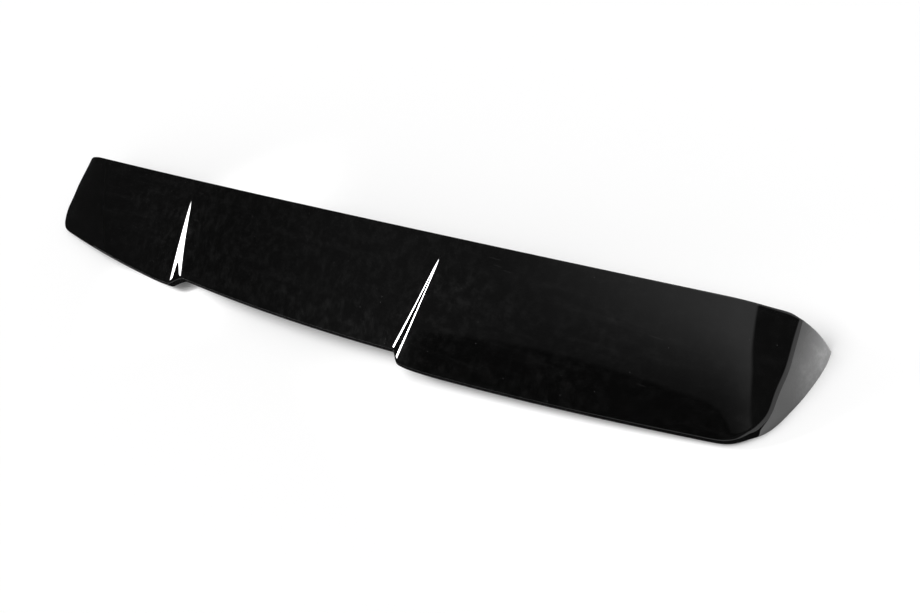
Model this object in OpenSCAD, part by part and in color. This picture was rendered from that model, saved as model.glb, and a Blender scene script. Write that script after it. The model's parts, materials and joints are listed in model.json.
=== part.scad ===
// Roof spoiler cap for a hatchback, one vacuum-formed plastic shell.
// X runs across the car, +Y points to its front and Z is up. The cap lies on a
// bench as it would off the car: its two end skirts stand on the plane z = 0.
// The top falls to the rear, two raised wings flank a recessed middle, and the
// edge is turned down along the rear and both ends.

/* [Plan] */
// Width between the creases at the two ends
span = 1164; // [1000:4:1300]
// Front edge to rear edge, measured at the ends
chord_end = 103; // [88:1:130]
// How much further back the middle of the front edge lies than its ends
nose_sweep = 26; // [0:1:40]
// How much further back the middle of the rear edge's curve lies than its ends
tail_bow = 47; // [20:1:60]
// Radius of the two rear corners, seen from above
corner_r = 30; // [24:1:48]
// How much wider the cap is at the rear than at the front, at each end
end_flare = 2; // [0:0.5:8]
// How far each end bulges outwards between its corners
end_bulge = 1.5; // [0:0.5:5]

/* [Height] */
// Height of the front corners above the bench
nose_h = 41.5; // [34:0.5:52]
// Height of the rear corners above the bench
tail_h = 5.2; // [5:0.2:10]
// Rise of the front edge's curve from its ends to the middle
nose_crown = 33.5; // [15:0.5:50]
// Rise of the rear edge's curve from its ends to the middle
tail_crown = 16; // [12:0.5:30]
// How far the front edge rolls down towards each end, on top of its curve
nose_shoulder = 8.5; // [0:0.5:14]
// How far the rear edge rolls down towards each end, on top of its curve
tail_shoulder = 2.5; // [0:0.5:6]
// Width over which both edges roll down at each end
shoulder_w = 54; // [40:1:80]
// Rise of the top above a straight line between front and rear edge
camber = 1; // [0:0.25:4]

/* [Recessed middle] */
// Depth of the middle below the wings at the rear edge
recess_depth = 6; // [2:0.25:7]
// Half width of the recess floor at the rear edge
recess_half = 194; // [120:2:260]
// Width of the ramp between floor and wing at the rear edge
ramp_w = 20; // [16:1:40]
// How much further out the ramps start at the front than the floor's edge
ramp_splay = 30; // [20:1:50]
// Distance from the front edge to the pointed start of each ramp
ramp_start = 12; // [8:1:40]
// How far the wings stand out behind the middle at the rear edge
wing_overhang = 15; // [6:0.5:20]

/* [Sheet and edges] */
// Thickness of the formed sheet
wall = 3.2; // [2:0.2:4]
// Outer radius of the crease along each end
crease_r = 5.5; // [5:0.5:10]
// Outer radius of the rear edge
tail_r = 4.2; // [4.2:0.1:5]
// Height of the rear lip's lower edge above the bench, in the middle
lip_rise = 14; // [6:0.5:16]
// Angle by which the end skirts lean outwards from upright, at the front
skirt_lean = 23; // [5:1:30]
// The same angle at the rear corners, where the skirts run out
skirt_lean_rear = 0; // [0:1:20]
// Angle by which the rear lip is tucked back in under the cap from upright
lip_tuck = 20; // [0:1:24]

/* [Smoothness] */
// Mesh steps from the middle to a ramp
floor_steps = 10; // [6:1:14]
// Mesh steps across a ramp
ramp_steps = 9; // [6:1:12]
// Mesh steps from a ramp to an end
wing_steps = 20; // [14:1:24]
// Mesh steps from the front edge to the rear edge
chord_steps = 15; // [12:1:18]
// Mesh steps round an edge radius
edge_steps = 4; // [3:1:5]

/* [Hidden] */

half = span / 2;
shell_color = [0.05, 0.05, 0.055];
// The ramps are this wide where they begin at the front
ramp_tip_w = 2.5;
// Step for taking slopes of the top by difference
probe = 0.25;
// Mesh steps down the flat part of a skirt
skirt_steps = 2;
depth_steps = edge_steps + skirt_steps;

function lerp(a, b, t) = a + (b - a) * t;
function unit(v) = v / norm(v);
function clamp01(t) = max(0, min(1, t));
function smooth(t) = let (c = clamp01(t)) c * c * (3 - 2 * c);

// Fraction of an edge's crown that is left at a place x across the car
function crown_at(x) = 1 - pow(x / half, 2);

// Fraction of an edge's shoulder that is left: whole up to the last stretch
function shoulder_at(x) =
    1 - pow(max(0, (abs(x) - half + shoulder_w) / shoulder_w), 2);

function nose_y(x) = -nose_sweep * crown_at(x);
function nose_z(x) =
    nose_h + nose_crown * crown_at(x) + nose_shoulder * shoulder_at(x);

// The rear edge's curve through the wings
function wing_tail_y(x) = -chord_end - tail_bow * crown_at(x);
function wing_tail_z(x) =
    tail_h + tail_crown * crown_at(x) + tail_shoulder * shoulder_at(x);

// The true rear edge, which is stepped forward in the middle
function tail_y(x) =
    wing_tail_y(x)
    + wing_overhang * (1 - smooth((abs(x) - recess_half) / (ramp_w + 4)));

// Fraction of the way from the front edge to the rear edge
function chord_part(x, y) = (nose_y(x) - y) / (nose_y(x) - tail_y(x));

// Growth of the recess from the front tips of its ramps to the rear edge
function recess_part(s) =
    let (s_tip = ramp_start / (nose_y(recess_half) - tail_y(recess_half)))
    clamp01((s - s_tip) / (1 - s_tip));

// Foot and shoulder of the ramp, as distances from the middle plane
function ramp_foot(s) =
    recess_half + ramp_splay * (1 - recess_part(s));
function ramp_shoulder(s) =
    lerp(recess_half + ramp_splay + ramp_tip_w, recess_half + ramp_w, recess_part(s));

// How far the top lies below the wings' surface
function recess_at(x, s) =
    let (foot = ramp_foot(s), shoulder = ramp_shoulder(s))
    recess_depth * recess_part(s)
    * (1 - smooth((abs(x) - foot) / (shoulder - foot)));

// Height of the top's outer face over any point of its plan
function top_z(x, y) =
    let (
        run = nose_y(x) - wing_tail_y(x),
        fall = nose_z(x) - wing_tail_z(x),
        s = (nose_y(x) - y) / run
    )
    nose_z(x) - fall * s + camber * 4 * s * (1 - s)
    - recess_at(x, chord_part(x, y));

function top_normal(x, y) =
    unit([top_z(x - probe, y) - top_z(x + probe, y),
          top_z(x, y - probe) - top_z(x, y + probe),
          2 * probe]);

// Mesh columns of one half: [band, place in the band], from the middle out.
// The last band's columns close up towards the end.
half_columns = concat(
    [for (i = [1 : floor_steps]) [0, i / floor_steps]],
    [for (i = [1 : ramp_steps]) [1, i / ramp_steps]],
    [for (i = [1 : wing_steps]) [2, 1 - pow(1 - i / wing_steps, 1.7)]]
);
half_count = len(half_columns);
last_column = 2 * half_count;

function band_edge(band, s) =
    band == 0 ? 0
    : band == 1 ? ramp_foot(s)
    : band == 2 ? ramp_shoulder(s)
    : half + end_flare * s + end_bulge * 4 * s * (1 - s);

function column_x(i, s) =
    let (c = i == half_count ? [0, 0] : half_columns[abs(i - half_count) - 1])
    sign(i - half_count)
    * lerp(band_edge(c[0], s), band_edge(c[0] + 1, s), c[1]);

// Mesh rows close up towards the rear edge
function row_s(j) = 1 - pow(1 - j / chord_steps, 1.35);

// Plan point of a column and row. Inside the corner's square the grid is drawn
// in to a quarter circle.
function plan_point(i, j) =
    let (
        s = row_s(j),
        x = column_x(i, s),
        y = lerp(nose_y(x), tail_y(x), s),
        u = clamp01((abs(x) - band_edge(3, s) + corner_r) / corner_r),
        v = clamp01((tail_y(x) + corner_r - y) / corner_r),
        pull_x = corner_r * u * (1 - sqrt(1 - v * v / 2)),
        pull_y = corner_r * v * (1 - sqrt(1 - u * u / 2))
    )
    [x - sign(x) * pull_x, y + pull_y];

function lifted(p) = [p.x, p.y, top_z(p.x, p.y)];

top = [for (i = [0 : last_column]) [for (j = [0 : chord_steps])
    lifted(plan_point(i, j))]];

// The turned-down edge follows the right end, the rear and the left end
rim = concat(
    [for (j = [0 : chord_steps]) [last_column, j]],
    [for (i = [last_column - 1 : -1 : 0]) [i, chord_steps]],
    [for (j = [chord_steps - 1 : -1 : 0]) [0, j]]
);
last_rim = len(rim) - 1;

function rim_point(m) = let (r = rim[max(0, min(last_rim, m))]) top[r[0]][r[1]];

// One section of the skirt: round the edge, then straight to the lower edge.
// The ends stand on the bench and the rear lip follows its own curve.
function skirt_section(m) =
    let (
        p = rim_point(m),
        along = rim_point(m + 1) - rim_point(m - 1),
        out = unit([-along.y, along.x]),
        n = top_normal(p.x, p.y),
        start = unit([out.x, out.y, -(out.x * n.x + out.y * n.y) / n.z]),
        endness = smooth((abs(out.x) - 0.72) / 0.25),
        s = chord_part(p.x, p.y),
        end_lean = lerp(skirt_lean, skirt_lean_rear, s * s),
        lean = tan(lerp(-lip_tuck, end_lean, endness)),
        down = unit([out.x * lean, out.y * lean, -1]),
        r = lerp(tail_r, crease_r, endness),
        turn = acos(start * down),
        inward = unit(down - (start * down) * start),
        arc_end = p + r * sin(turn) * start + r * (1 - cos(turn)) * inward,
        foot_z = m < chord_steps || m > last_rim - chord_steps
            ? 0 : max(0, lip_rise * crown_at(p.x)),
        reach = (arc_end.z - foot_z) / -down.z
    )
    concat(
        [for (k = [0 : edge_steps]) let (a = turn * k / edge_steps)
            p + r * sin(a) * start + r * (1 - cos(a)) * inward],
        [for (k = [1 : skirt_steps]) arc_end + down * reach * k / skirt_steps]
    );

skirt = [for (m = [0 : last_rim]) skirt_section(m)];

function skirt_point(m, k) =
    skirt[max(0, min(last_rim, m))][max(0, min(depth_steps, k))];

function skirt_normal(m, k) =
    unit(cross(skirt_point(m + 1, k) - skirt_point(m - 1, k),
               skirt_point(m, k + 1) - skirt_point(m, k - 1)));

// Inner face of the skirt. Its lowest point slides down to the outer one's
// height, so the lower edge is trimmed level.
function skirt_inner(m, k) =
    let (
        p = skirt_point(m, k),
        q = p - wall * skirt_normal(m, k),
        down = unit(p - skirt_point(m, k - 1))
    )
    k < depth_steps ? q : q + down * (q.z - p.z) / -down.z;

outer_points = concat(
    [for (column = top) each column],
    [for (m = [0 : last_rim]) for (k = [1 : depth_steps]) skirt_point(m, k)]
);
inner_points = concat(
    [for (column = top) for (p = column) p - wall * top_normal(p.x, p.y)],
    [for (m = [0 : last_rim]) for (k = [1 : depth_steps]) skirt_inner(m, k)]
);

face_count = len(outer_points);
function top_id(i, j) = i * (chord_steps + 1) + j;
function skirt_id(m, k) =
    k == 0 ? top_id(rim[m][0], rim[m][1])
    : (last_column + 1) * (chord_steps + 1) + m * depth_steps + k - 1;

// Two triangles of a four-sided cell. The cut runs the other way on one half,
// so the mesh is a mirror image of itself.
function cell(a, b, c, d, flip) = flip ? [[a, b, d], [b, c, d]] : [[a, b, c], [a, c, d]];

outer_faces = concat(
    [for (i = [0 : last_column - 1]) for (j = [0 : chord_steps - 1])
        each cell(top_id(i, j), top_id(i + 1, j), top_id(i + 1, j + 1),
                  top_id(i, j + 1), i < half_count)],
    [for (m = [0 : last_rim - 1]) for (k = [0 : depth_steps - 1])
        each cell(skirt_id(m, k), skirt_id(m, k + 1), skirt_id(m + 1, k + 1),
                  skirt_id(m + 1, k), m >= last_rim / 2)]
);
inner_faces = [for (f = outer_faces)
    [f[2] + face_count, f[1] + face_count, f[0] + face_count]];

// The free edge all round: front edge, right skirt, lower edge, left skirt
free_edge = concat(
    [for (i = [0 : last_column]) top_id(i, 0)],
    [for (k = [1 : depth_steps]) skirt_id(0, k)],
    [for (m = [1 : last_rim]) skirt_id(m, depth_steps)],
    [for (k = [depth_steps - 1 : -1 : 1]) skirt_id(last_rim, k)]
);
edge_faces = [for (e = [0 : len(free_edge) - 1])
    let (a = free_edge[e], b = free_edge[(e + 1) % len(free_edge)])
    each [[b, a, a + face_count], [b, a + face_count, b + face_count]]];

// The origin lies under the middle of the cap's outline
depths = [for (p = outer_points) p.y];
mid_y = (min(depths) + max(depths)) / 2;

module spoiler_shell() {
    color(shell_color)
        translate([0, -mid_y, 0])
            polyhedron(
                points = concat(outer_points, inner_points),
                faces = concat(outer_faces, inner_faces, edge_faces),
                convexity = 6
            );
}

spoiler_shell();
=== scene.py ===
# %% [markdown]
# This notebook dresses one car part: a roof spoiler cap in gloss black plastic.
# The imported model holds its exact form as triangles. Here that form is turned
# into a smooth surface, given its finishes, and set on a pale studio floor.
# The frame is loaded first. It brings the solid in metres, so a length in
# millimetres is written with the factor MM. The solid's box tells where the cap
# begins and ends.

# %% Load the frame
import json
import math

import bpy
from mathutils import Matrix, Vector

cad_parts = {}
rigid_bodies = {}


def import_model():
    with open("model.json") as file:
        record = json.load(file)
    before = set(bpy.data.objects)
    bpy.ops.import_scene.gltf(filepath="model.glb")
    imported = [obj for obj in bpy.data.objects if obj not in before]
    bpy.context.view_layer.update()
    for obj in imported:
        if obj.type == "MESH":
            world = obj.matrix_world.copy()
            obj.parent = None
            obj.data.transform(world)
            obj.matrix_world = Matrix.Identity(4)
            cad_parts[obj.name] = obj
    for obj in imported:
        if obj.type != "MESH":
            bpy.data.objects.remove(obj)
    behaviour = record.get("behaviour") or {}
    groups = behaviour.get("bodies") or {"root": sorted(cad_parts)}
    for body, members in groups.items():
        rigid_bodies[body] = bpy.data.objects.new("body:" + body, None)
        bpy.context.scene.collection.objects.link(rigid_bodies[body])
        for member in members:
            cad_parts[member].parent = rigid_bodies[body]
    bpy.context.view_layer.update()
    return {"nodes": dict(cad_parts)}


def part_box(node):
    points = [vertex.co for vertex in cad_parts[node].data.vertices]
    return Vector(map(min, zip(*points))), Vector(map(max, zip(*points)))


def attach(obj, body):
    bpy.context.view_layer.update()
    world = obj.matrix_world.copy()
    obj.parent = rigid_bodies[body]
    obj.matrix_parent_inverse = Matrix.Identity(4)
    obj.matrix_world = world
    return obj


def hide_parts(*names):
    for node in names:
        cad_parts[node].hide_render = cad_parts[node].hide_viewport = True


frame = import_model()
SHELL_LOW, SHELL_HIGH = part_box("spoiler_shell")
MM = 0.001
print("Shell from", tuple(SHELL_LOW), "to", tuple(SHELL_HIGH))

# %% [markdown]
# Operators act on whatever is selected, and a loaded model comes in selected.
# Two small helpers keep that in order: one clears the selection, and one makes
# a single object the selected and active one.

# %% Selection helpers
def clear_selection():
    if bpy.context.mode != "OBJECT":
        bpy.ops.object.mode_set(mode="OBJECT")
    bpy.ops.object.select_all(action="DESELECT")


def pick(piece):
    clear_selection()
    piece.select_set(True)
    bpy.context.view_layer.objects.active = piece


# %% [markdown]
# The cap is one vacuum-formed sheet, so its look lives in long, clean
# reflections. The CAD solid has the right form, but its triangles are loose and
# would show as facets in a gloss surface. A copy of it is merged, and its
# triangles are joined back into the four-sided cells that they were cut from.
# Four-sided cells are what subdivision needs to give an even surface.

# %% Copy and merge the solid
MERGE_DISTANCE = 0.01 * MM
QUAD_BEND = math.radians(50)
QUAD_SKEW = math.radians(110)

pick(frame["nodes"]["spoiler_shell"])
bpy.ops.object.duplicate()
cap = bpy.context.active_object
cap.name = "formed_cap"
cap.data.name = "formed_cap"
cap.data.materials.clear()
pick(cap)
bpy.ops.object.mode_set(mode="EDIT")
bpy.ops.mesh.select_all(action="SELECT")
bpy.ops.mesh.remove_doubles(threshold=MERGE_DISTANCE)
bpy.ops.mesh.customdata_custom_splitnormals_clear()
bpy.ops.mesh.select_all(action="SELECT")
bpy.ops.mesh.tris_convert_to_quads(face_threshold=QUAD_BEND, shape_threshold=QUAD_SKEW)
bpy.ops.object.mode_set(mode="OBJECT")
quads = sum(len(face.vertices) == 4 for face in cap.data.polygons)
print("Cells:", len(cap.data.polygons), "of which four-sided:", quads)

# %% [markdown]
# A formed end wall isn't dead straight along its free edges. They are bowed, the
# front tip is drawn in, and the corner above it is rounded. Proportional editing
# makes such soft forms on the coarse cells: the vertices within the grip move
# the whole way, and those within the reach follow less and less, so the two
# faces of the sheet stay parallel. Both ends get the same moves, mirrored.

# %% Bow and round the two end walls
# A grip of this many millimetres takes both faces of the sheet along.
SHEET_GRIP = 4.5

# For the right end, in millimetres: the place, its move, the reach and the grip.
EASED = (
    # The lower edge swells in the middle and is drawn in towards the rear.
    ((595.6, 29.0, 0.0), (2.2, 0.0, 0.0), 48, SHEET_GRIP),
    ((587.6, -11.4, 0.0), (-1.4, 0.0, 0.0), 30, SHEET_GRIP),
    # The front edge is bowed forwards.
    ((593.0, 72.5, 19.0), (0.0, 2.3, 0.5), 27, SHEET_GRIP),
    # The front tip is drawn in, and the rear corner is fuller.
    ((601.2, 73.1, 0.0), (-3.0, 0.0, 0.0), 14, SHEET_GRIP),
    ((580.8, -18.3, 0.0), (0.9, -0.9, 0.0), 8, SHEET_GRIP),
    # The corner where the front edge meets the crease is rounded.
    ((574.0, 72.5, 43.0), (0.0, 1.3, 0.0), 16, SHEET_GRIP),
    ((583.0, 72.0, 40.5), (0.0, -1.5, 0.0), 9, 1.0),
    # The crease is drawn in on its way to the rear corner.
    ((589.8, 12.0, 17.0), (-2.0, 0.0, 0.0), 21, 3.0),
)


def on_side(side, point):
    """A point or a move of the right end in metres, mirrored where side is -1."""
    x, y, z = point
    return Vector((side * x, y, z)) * MM


def ease(place, shift, reach, grip):
    """Move the vertices near a place, and the cells within reach along with them."""
    bpy.ops.mesh.select_all(action="DESELECT")
    bpy.ops.object.mode_set(mode="OBJECT")
    nearest = min(cap.data.vertices, key=lambda v: (v.co - place).length)
    picked = [v for v in cap.data.vertices if (v.co - nearest.co).length < grip]
    for vertex in picked:
        vertex.select = True
    bpy.ops.object.mode_set(mode="EDIT")
    bpy.ops.transform.translate(
        value=shift, use_proportional_edit=True,
        proportional_edit_falloff="SMOOTH", proportional_size=reach,
    )
    return len(picked)


pick(cap)
bpy.ops.object.mode_set(mode="EDIT")
bpy.ops.mesh.select_mode(type="VERT")
for side in (-1, 1):
    held = [
        ease(on_side(side, place), on_side(side, shift), reach * MM, grip * MM)
        for place, shift, reach, grip in EASED
    ]
    print("Vertices held on side", side, "are", held)
bpy.ops.object.mode_set(mode="OBJECT")

# %% [markdown]
# The sheet was trimmed with a cutter after forming, so its free edge is the one
# place with sharp corners. They part the sheet into three finishes: the outside
# is its bright face, the inside lay against the mould and is dull, and the
# trimmed edge shows the saw. The sharp edges are marked as seams, and one face of
# the outside and one of the inside are grown up to them. That is safer than a
# guess from where each face points. The seams are creased as well, so they stay
# crisp when the rest is smoothed.

# %% Find the trimmed edge and sort the faces by finish
TRIM_ANGLE = math.radians(42)
MIDDLE_REACH = 60 * MM
CENTRE_PULL = 10
GLOSS, INSIDE, TRIM = range(3)


def grow_to_seams(seed):
    """All faces that can be reached from one face without crossing a seam."""
    bpy.ops.mesh.select_all(action="DESELECT")
    bpy.ops.object.mode_set(mode="OBJECT")
    cap.data.polygons[seed].select = True
    bpy.ops.object.mode_set(mode="EDIT")
    bpy.ops.mesh.select_linked(delimit={"SEAM"})
    bpy.ops.object.mode_set(mode="OBJECT")
    reached = [face.index for face in cap.data.polygons if face.select]
    bpy.ops.object.mode_set(mode="EDIT")
    return reached


def down_and_central(face):
    """Lowest for a face that looks straight down and lies near the centre line."""
    return face.normal.z + CENTRE_PULL * abs(face.center.y)


pick(cap)
middle = [face for face in cap.data.polygons if abs(face.center.x) < MIDDLE_REACH]
outer_seed = max(middle, key=lambda face: face.normal.z).index
inner_seed = min(middle, key=down_and_central).index
bpy.ops.object.mode_set(mode="EDIT")
bpy.ops.mesh.select_mode(type="EDGE")
bpy.ops.mesh.select_all(action="DESELECT")
bpy.ops.mesh.edges_select_sharp(sharpness=TRIM_ANGLE)
bpy.ops.transform.edge_crease(value=1.0)
bpy.ops.mesh.mark_seam()
bpy.ops.mesh.select_mode(type="FACE")
outside = grow_to_seams(outer_seed)
inside = grow_to_seams(inner_seed)
bpy.ops.object.mode_set(mode="OBJECT")
for face in cap.data.polygons:
    face.material_index = TRIM
for kind, indices in ((GLOSS, outside), (INSIDE, inside)):
    for index in indices:
        cap.data.polygons[index].material_index = kind
print("Cells outside", len(outside), "and inside", len(inside),
      "of", len(cap.data.polygons))

# %% [markdown]
# The cells are fine enough in number but coarse in shape, so the sheet is
# subdivided. The cut then gets the tiny broken edge that a scraper leaves, and
# every edge gentler than a cut corner is shaded smooth. A modifier is applied as
# soon as it is added, so the piece ends as a finished mesh. The cap rides on the
# root body and takes the place of the solid that it was copied from.

# %% Smooth the sheet
SCRAPED_EDGE = 0.35 * MM
SMOOTH_ANGLE = math.radians(60)


def apply_modifier(piece, kind, **settings):
    pick(piece)
    modifier = piece.modifiers.new(kind.lower(), kind)
    for name, value in settings.items():
        setattr(modifier, name, value)
    bpy.ops.object.modifier_apply(modifier=modifier.name)


apply_modifier(cap, "SUBSURF", levels=2, render_levels=2)
apply_modifier(
    cap, "BEVEL", width=SCRAPED_EDGE, segments=2,
    limit_method="ANGLE", angle_limit=TRIM_ANGLE,
)
pick(cap)
bpy.ops.object.shade_smooth_by_angle(angle=SMOOTH_ANGLE)
print("Faces after smoothing:", len(cap.data.polygons), "by finish:", [
    sum(face.material_index == kind for face in cap.data.polygons)
    for kind in (GLOSS, INSIDE, TRIM)
])

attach(cap, "root")
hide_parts("spoiler_shell")

# %% [markdown]
# Materials are written as Python sums. A Sock wraps one output of a node, and
# each operator on it adds the Math node that does the sum. The reflected forms
# let a number stand first, as in 1 - mask. Colours can't go through a Math node,
# so they are blended with a Mix node.

# %% Sockets that can be added and multiplied
class Sock:
    def __init__(self, bench, socket):
        self.bench = bench
        self.socket = socket

    def math(self, operation, *others):
        return self.bench.node(
            "ShaderNodeMath", {"operation": operation}, self, *others
        )

    def sibling(self, name):
        """Another output of the node that this one comes from."""
        return Sock(self.bench, self.socket.node.outputs[name])

    def __add__(self, other):
        return self.math("ADD", other)

    def __radd__(self, other):
        return self.math("ADD", other)

    def __mul__(self, other):
        return self.math("MULTIPLY", other)

    def __rmul__(self, other):
        return self.math("MULTIPLY", other)

    def __sub__(self, other):
        return self.math("SUBTRACT", other)

    def __rsub__(self, other):
        return self.bench.node("ShaderNodeMath", {"operation": "SUBTRACT"}, other, self)

    def __lt__(self, other):
        return self.math("LESS_THAN", other)

    def __gt__(self, other):
        """The reflected form of __lt__, for a number that stands first."""
        return self.math("GREATER_THAN", other)


class Bench:
    """Makes the nodes of one material or world."""

    def __init__(self, owner):
        owner.use_nodes = True
        self.tree = owner.node_tree
        self.tree.nodes.clear()

    def node(self, kind, settings=None, *inputs, out=0, **named):
        """Add a node. Inputs go by place, or by name with _ for a space."""
        made = self.tree.nodes.new(kind)
        for name, value in (settings or {}).items():
            setattr(made, name, value)
        for place, value in enumerate(inputs):
            self.feed(made.inputs[place], value)
        for name, value in named.items():
            self.feed(made.inputs[name.replace("_", " ")], value)
        return Sock(self, made.outputs[out]) if made.outputs else made

    def feed(self, socket, value):
        if isinstance(value, Sock):
            self.tree.links.new(value.socket, socket)
        else:
            socket.default_value = value

    def fade(self, value, low, high):
        """0 below low, 1 above high, and a smooth step between them."""
        return self.node(
            "ShaderNodeMapRange", {"interpolation_type": "SMOOTHSTEP"},
            Value=value, From_Min=low, From_Max=high,
        )

    def blend(self, share, first, second):
        """A colour on the way from the first to the second."""
        return self.node(
            "ShaderNodeMix", {"data_type": "RGBA"}, out="Result",
            Factor=share, A=first, B=second,
        )


def grey(level):
    return (level, level, level, 1)


# %% [markdown]
# The patterns of the finishes are laid out on Object coordinates, in metres, so
# they stay on the piece wherever it is. A Mapping node turns and stretches them,
# noise gives clouds and grain, and Voronoi cells give single marks. Each cell
# has a random colour, which serves as its ticket, and only low tickets win.

# %% Patterns that the finishes share
def stretched(bench, turn=0, scale=(1, 1, 1)):
    """Object coordinates, turned about Z in degrees and scaled along each axis."""
    place = bench.node("ShaderNodeTexCoord", out="Object")
    return bench.node(
        "ShaderNodeMapping", Vector=place, Scale=scale,
        Rotation=(0, 0, math.radians(turn)),
    )


def noise(bench, vector, scale, detail=2.0, rough=0.5):
    return bench.node(
        "ShaderNodeTexNoise", Vector=vector, Scale=scale, Detail=detail, Roughness=rough
    )


def flecks(bench, vector, scale, size, share):
    """Round or long marks in Voronoi cells, of which only a share is kept."""
    distance = bench.node("ShaderNodeTexVoronoi", Vector=vector, Scale=scale)
    ticket = bench.node("ShaderNodeSeparateColor", None, distance.sibling("Color"))
    return (distance < size) * (ticket < share)


def bump(bench, height, strength, depth):
    return bench.node(
        "ShaderNodeBump", Height=height, Strength=strength, Distance=depth
    )


# %% [markdown]
# The gloss face is almost black, so what it shows is what it reflects. Real
# formed sheet isn't a perfect mirror: it carries a fine orange peel, a slow
# waviness from the mould, a film of handling haze, dust specks and a few
# hairline scratches. The end walls get a paler grey painted into their colour,
# growing towards their lower front corner: a painted reflection of the bright
# floor. Each is its own layer, and they only change colour, roughness and the bump.

# %% Gloss black sheet
CLEAN_BLACK = grey(0.0012)
HAZE_BLACK = grey(0.026)
# A paler grey painted on the end walls: a painted reflection of the bright floor.
PAINTED_REFLECTION_GREY = grey(0.32)

# Ranges in metres: out to the wings, out to the end walls, and to the front.
WINGS = (0.2, 0.32)
END_WALLS = (0.585, 0.6)
FRONTWARDS = (0.0, 0.085)


def handling_haze(bench, mottle, across):
    """A mottled haze in patches, thinner on the wings, with streaks from wiping."""
    along = stretched(bench, turn=8, scale=(1, 1.8, 1.8))
    wiped = stretched(bench, turn=6, scale=(5, 110, 70))
    held = 1 - bench.fade(across, *WINGS) * 0.55
    patch = bench.fade(
        noise(bench, along, scale=8.0, detail=4.0, rough=0.55), low=0.47, high=0.7
    )
    streak = bench.fade(
        noise(bench, wiped, scale=1.0, detail=4.0, rough=0.6), low=0.5, high=0.8
    )
    return mottle * held * (patch * 0.26 + 0.2) + streak * 0.1


def hairlines(bench):
    """Two sets of scratches, which are Voronoi marks drawn out very long."""
    one_way = stretched(bench, turn=35, scale=(20, 620, 20))
    other_way = stretched(bench, turn=-62, scale=(25, 620, 25))
    return (
        flecks(bench, one_way, scale=1.0, size=0.16, share=0.02)
        + flecks(bench, other_way, scale=1.0, size=0.16, share=0.015)
    )


def gloss_sheet():
    material = bpy.data.materials.new("gloss_sheet")
    bench = Bench(material)
    plain = stretched(bench)
    place = bench.node("ShaderNodeSeparateXYZ", None, plain)
    across, forward = place.math("ABSOLUTE"), place.sibling("Y")

    mottle = bench.fade(
        noise(bench, plain, scale=85.0, detail=8.0, rough=0.72), low=0.42, high=0.74
    )
    haze = handling_haze(bench, mottle, across)
    to_front = bench.fade(forward, *FRONTWARDS) * 0.9 + 0.1
    # Painted reflection: the end walls turn paler towards their lower front corner.
    painted_reflection = bench.fade(across, *END_WALLS) * to_front * (mottle * 0.5 + 0.85)
    dust = flecks(bench, plain, scale=190.0, size=0.085, share=0.07)
    marks = hairlines(bench)
    peel = noise(bench, plain, scale=420.0, detail=1.0)
    wave = noise(bench, plain, scale=6.0, detail=1.0)

    hazed = bench.blend(haze + dust * 0.8 + marks * 0.4, CLEAN_BLACK, HAZE_BLACK)
    height = wave * 0.08 + peel * 0.003 + dust * 0.012 - marks * 0.006
    shader = bench.node(
        "ShaderNodeBsdfPrincipled",
        Base_Color=bench.blend(painted_reflection, hazed, PAINTED_REFLECTION_GREY),
        Roughness=0.022 + haze * 0.1 + dust * 0.3 + marks * 0.12,
        Normal=bump(bench, height, strength=0.25, depth=1.0 * MM),
        IOR=1.5, Coat_Weight=1.0, Coat_Roughness=0.015, Coat_IOR=1.6,
    )
    bench.node("ShaderNodeOutputMaterial", Surface=shader)
    return material


gloss = gloss_sheet()
print("Nodes of the gloss finish:", len(gloss.node_tree.nodes))

# %% [markdown]
# The inside of a formed sheet is dull with a fine grain, and the trimmed edge
# is a scraped, slightly paler black with saw lines across it. Neither has a
# clear coat, so a rough surface with a shallow bump is enough.

# %% Inside and trimmed edge
GRAIN_DEPTH = 0.1 * MM
DULL_DARK, DULL_PALE = (0.012, 0.012, 0.013, 1), (0.028, 0.028, 0.03, 1)
SAWN_DARK, SAWN_PALE = grey(0.012), (0.05, 0.05, 0.052, 1)


def dull_sheet():
    material = bpy.data.materials.new("dull_inside")
    bench = Bench(material)
    plain = stretched(bench)
    grain = noise(bench, plain, scale=900.0)
    cloud = noise(bench, plain, scale=14.0, detail=4.0, rough=0.6)
    shader = bench.node(
        "ShaderNodeBsdfPrincipled",
        Base_Color=bench.blend(cloud * 0.8 + grain * 0.2, DULL_DARK, DULL_PALE),
        Roughness=0.38 + cloud * 0.2,
        Normal=bump(bench, grain, strength=0.3, depth=GRAIN_DEPTH),
        IOR=1.5,
    )
    bench.node("ShaderNodeOutputMaterial", Surface=shader)
    return material


def sawn_edge():
    material = bpy.data.materials.new("sawn_edge")
    bench = Bench(material)
    lines = noise(
        bench, stretched(bench, scale=(1, 1, 9)), scale=260.0, detail=3.0, rough=0.7
    )
    shader = bench.node(
        "ShaderNodeBsdfPrincipled",
        Base_Color=bench.blend(lines, SAWN_DARK, SAWN_PALE),
        Roughness=0.5 + lines * 0.2,
        Normal=bump(bench, lines, strength=0.5, depth=GRAIN_DEPTH),
        IOR=1.5,
    )
    bench.node("ShaderNodeOutputMaterial", Surface=shader)
    return material


for finish in (gloss, dull_sheet(), sawn_edge()):
    cap.data.materials.append(finish)
print("Finishes:", [finish.name for finish in cap.data.materials])

# %% [markdown]
# A gloss black part is photographed by choosing what it mirrors. The floor is a
# large matt white plane. It lies a hair below the cap's feet, so that the two
# never share a surface, and it takes the cap's soft shadow.

# %% White floor
FLOOR_SIZE = 24
FLOOR_TOP = -0.2 * MM


def matt_paint(name, level):
    paint = bpy.data.materials.new(name)
    bench = Bench(paint)
    matt = bench.node("ShaderNodeBsdfDiffuse", Color=grey(level))
    bench.node("ShaderNodeOutputMaterial", Surface=matt)
    return paint


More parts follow.
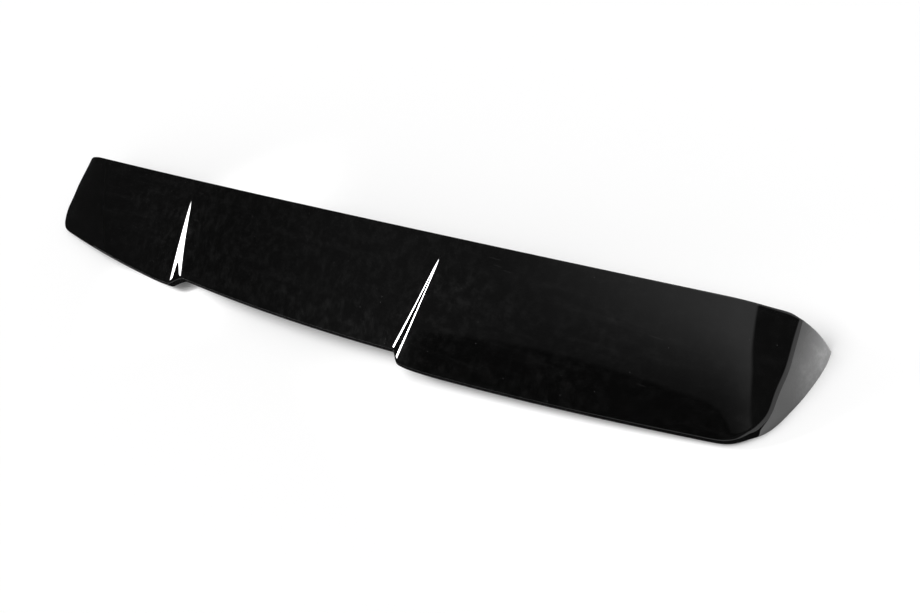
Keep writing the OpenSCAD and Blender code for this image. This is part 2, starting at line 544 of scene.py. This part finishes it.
bpy.ops.mesh.primitive_plane_add(size=FLOOR_SIZE, location=(0, 0, FLOOR_TOP))
floor = bpy.context.active_object
floor.name = "studio_floor"
floor.data.materials.append(matt_paint("floor_paint", 0.98))
print("Floor", FLOOR_SIZE, "m wide, with its top at", FLOOR_TOP, "m")

# %% [markdown]
# On a white floor a gloss part loses its outline, because its steep edges mirror
# the floor. A studio answer is a black card beside each such edge. One lies
# behind the rear edge, and one stands beyond the far end, which the camera sees
# at a flat angle. They are hidden from the camera and cast no shadow, so only
# the gloss surface sees them.

# %% Black cards beside the edges
card_paint = matt_paint("card_paint", 0.02)


def black_card(name, centre, tilt, width, depth):
    bpy.ops.mesh.primitive_plane_add(size=1, location=centre, rotation=(0, tilt, 0))
    card = bpy.context.active_object
    card.name = name
    card.scale = (width, depth, 1)
    bpy.ops.object.transform_apply(location=True, rotation=True, scale=True)
    card.data.materials.append(card_paint)
    card.visible_camera = False
    card.visible_diffuse = False
    card.visible_shadow = False


beyond_end = (SHELL_LOW.x - 60 * MM, 60 * MM, 50 * MM)
behind_rear = (0, -235 * MM, -0.1 * MM)
black_card(
    "end_card", beyond_end, tilt=math.radians(90), width=100 * MM, depth=360 * MM
)
black_card("rear_card", behind_rear, tilt=0, width=1500 * MM, depth=430 * MM)
print("Cards at", beyond_end, "and", behind_rear)

# %% [markdown]
# The rest of the studio is one world shader that answers by direction, so no
# walls have to be built. A dark flag hangs where the top would mirror the
# ceiling, with one dim glow on it, and brighter walls stand all round. The
# camera itself sees white, and diffuse light comes evenly from everywhere. A
# direction is a unit vector with X to the cap's right and Y to its front.

# %% Studio walls as a world
# The front and rear edges of the flag are square to this direction.
FLAG_PLANE = Vector((-0.069, 0.953, 0.294)).normalized()

# How bright each part of the world is.
FLAG = 0.012
WALLS = 0.5
BROAD_GLOW = 0.03
MIDDLE_GLOW = 0.26
BESIDE_GLOW = 0.02
DIFFUSE_LIGHT = 0.5
BACKDROP = 1


def studio_flag(bench, direction, across):
    """1 on the dark flag and 0 on the walls, with soft edges."""
    off_plane = bench.node(
        "ShaderNodeVectorMath", {"operation": "DOT_PRODUCT"},
        direction, FLAG_PLANE, out="Value",
    )
    return (
        bench.fade(off_plane, low=-0.95, high=-0.75)
        * (1 - bench.fade(off_plane, low=0.28, high=0.45))
        * (1 - bench.fade(across, low=0.3, high=0.5))
    )


def studio_glow(bench, across, forward):
    """The glow on the flag: broad, brighter in its middle, and cut off at two sides."""
    beside = bench.fade(across, low=-0.03, high=0.0)
    rearwards = 1 - bench.fade(forward, low=-0.34, high=-0.332)
    behind = rearwards * bench.fade(across, low=-0.66, high=-0.6)
    broad = bench.fade(across, low=-0.9, high=-0.65) * BROAD_GLOW
    middle = bench.fade(across, low=-0.6, high=-0.15)
    middle = middle * bench.fade(forward, low=-0.34, high=-0.18) * MIDDLE_GLOW
    return (broad + middle) * (1 - beside) * (1 - behind) + beside * BESIDE_GLOW


def studio_world():
    world = bpy.data.worlds.new("studio")
    bpy.context.scene.world = world
    bench = Bench(world)
    direction = bench.node("ShaderNodeTexCoord", out="Generated")
    across = bench.node("ShaderNodeSeparateXYZ", None, direction)
    flag = studio_flag(bench, direction, across)
    glow = studio_glow(bench, across, across.sibling("Y"))
    mirrored = flag * (glow + (FLAG - WALLS)) + WALLS
    camera_ray = bench.node("ShaderNodeLightPath", out="Is Camera Ray")
    diffuse_ray = camera_ray.sibling("Is Diffuse Ray")
    strength = mirrored + diffuse_ray * (DIFFUSE_LIGHT - mirrored)
    strength = strength + camera_ray * (BACKDROP - strength)
    shade = bench.node("ShaderNodeBackground", Color=grey(1), Strength=strength)
    bench.node("ShaderNodeOutputWorld", Surface=shade)
    return world


world = studio_world()
print("Nodes of the world:", len(world.node_tree.nodes))

# %% [markdown]
# One wide sun lights the floor evenly and is hidden from reflections. The two
# ramps of the recess are meant to flash white while the panel round them stays
# dark. That is done as in a real studio: a small soft box with a honeycomb grid
# hangs near each ramp, and the grid, Blender's spread, keeps it off the panel.

# %% Lamps
SUN_STRENGTH = 1.75
SUN_WIDTH = math.radians(60)
SUN_TILT = (math.radians(12), math.radians(-14), 0)
BOX_DISTANCE = 0.42


def aimed(axis, turn):
    """The rotation that points -Z along an axis, rolled about it in degrees."""
    level = Vector(axis).to_track_quat("-Z", "Y").to_matrix()
    return (level @ Matrix.Rotation(math.radians(turn), 3, "Z")).to_euler()


def soft_sun():
    bpy.ops.object.light_add(type="SUN", location=(0, 0, 3))
    sun = bpy.context.active_object
    sun.data.energy = SUN_STRENGTH
    sun.data.angle = SUN_WIDTH
    sun.rotation_euler = SUN_TILT
    sun.visible_glossy = False


def gridded_box(name, ramp, towards, axis, turn, size, spread, watts):
    """A soft box near a ramp, whose grid lets light out only along its axis."""
    place = Vector(ramp) + Vector(towards).normalized() * BOX_DISTANCE
    bpy.ops.object.light_add(type="AREA", location=place)
    lamp = bpy.context.active_object
    lamp.name = name
    lamp.data.shape = "RECTANGLE"
    lamp.data.size, lamp.data.size_y = size
    lamp.data.spread = math.radians(spread)
    lamp.data.energy = watts
    lamp.rotation_euler = aimed(-Vector(axis), turn)
    lamp.visible_camera = False
    print(name, "at", [round(value, 3) for value in place])


soft_sun()
gridded_box(
    "grid_left", ramp=(-0.212, -0.025, 0.045), towards=(-0.572, -0.28, 0.771),
    axis=(-0.48, -0.32, 0.82), turn=0, size=(0.17, 0.17), spread=26, watts=0.085,
)
gridded_box(
    "grid_right", ramp=(0.214, -0.02, 0.046), towards=(-0.873, -0.19, 0.475),
    axis=(-0.93, -0.10, 0.36), turn=-40, size=(0.18, 0.14), spread=24, watts=0.08,
)

# %% [markdown]
# The photograph looks at the cap from its right end, about forty degrees above
# it, with the picture turned so that the cap runs down to the right. The camera
# has the same place, and is turned about its own axis in the same way.

# %% Camera
EYE = Vector((0.9798, -0.3848, 0.7263))
AIM = Vector((0.2684, -0.0073, 0.05))
ROLL = -34.76
PICTURE_W = 920
FOCAL_PX = 1100
SENSOR_W = 36
NEAREST = 0.01

bpy.ops.object.camera_add(location=EYE)
camera = bpy.context.active_object
camera.rotation_euler = aimed(AIM - EYE, ROLL)
camera.data.sensor_width = SENSOR_W
camera.data.lens = SENSOR_W * FOCAL_PX / PICTURE_W
camera.data.clip_start = NEAREST
bpy.context.scene.camera = camera
bpy.context.scene.view_settings.view_transform = "Standard"
print("Lens", round(camera.data.lens, 2), "mm")
